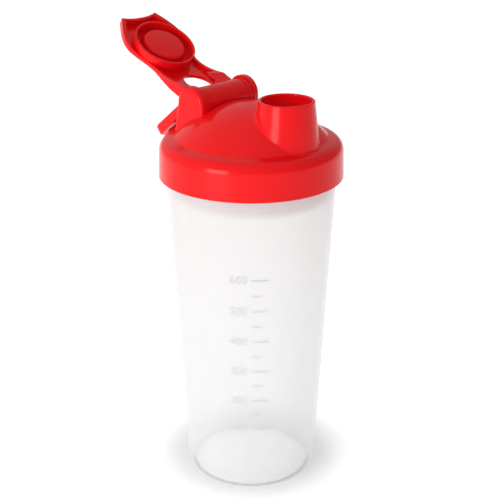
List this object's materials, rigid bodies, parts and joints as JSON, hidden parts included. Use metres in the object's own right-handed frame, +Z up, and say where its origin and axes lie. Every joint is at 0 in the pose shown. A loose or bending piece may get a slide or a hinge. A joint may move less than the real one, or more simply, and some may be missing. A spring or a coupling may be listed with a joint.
{
  "type": "protein shaker bottle",
  "caption": "Tapered translucent shaker cup with a screw lid, drinking spout, flip cap, carry loop and a drop-in mixing strainer.",
  "frame": {"origin": "centre of the cup's base on the plane it stands on", "axes": "+Z up the cup's axis, the spout stands towards -Y and the hinge lies along X behind it"},
  "size_m": [0.098, 0.1402, 0.2443],
  "materials": {
    "cup_plastic": "frosted, see-through moulded polypropylene",
    "strainer_plastic": "natural moulded polypropylene",
    "lid_plastic": "glossy moulded red polypropylene"
  },
  "bodies": {
    "cup": {"cup": "cup_plastic"},
    "strainer": {"strainer": "strainer_plastic"},
    "lid": {"lid": "lid_plastic"},
    "flip_cap": {"flip_cap": "lid_plastic"},
    "carry_loop": {"carry_loop": "lid_plastic"}
  },
  "joints": [
    {"name": "lid_lift", "type": "slide", "parent": "cup", "child": "strainer", "axis": [0, 0, 1], "range_m": [0, 0.03]},
    {"name": "lid_turn", "type": "hinge", "parent": "strainer", "child": "lid", "pos_m": [0, 0, 0.1883], "axis": [0, 0, 1], "range_deg": [0, 450]},
    {"name": "flip_cap_hinge", "type": "hinge", "parent": "lid", "child": "flip_cap", "pos_m": [0, 0.0239, 0.2084], "axis": [1, 0, 0], "range_deg": [0, 147.7]},
    {"name": "carry_loop_hinge", "type": "hinge", "parent": "lid", "child": "carry_loop", "pos_m": [0, 0.0239, 0.2084], "axis": [1, 0, 0], "range_deg": [0, 6]}
  ],
  "couplings": [
    {"joint": "lid_lift", "follows": "lid_turn", "m_per_rad": 0.0038197}
  ]
}
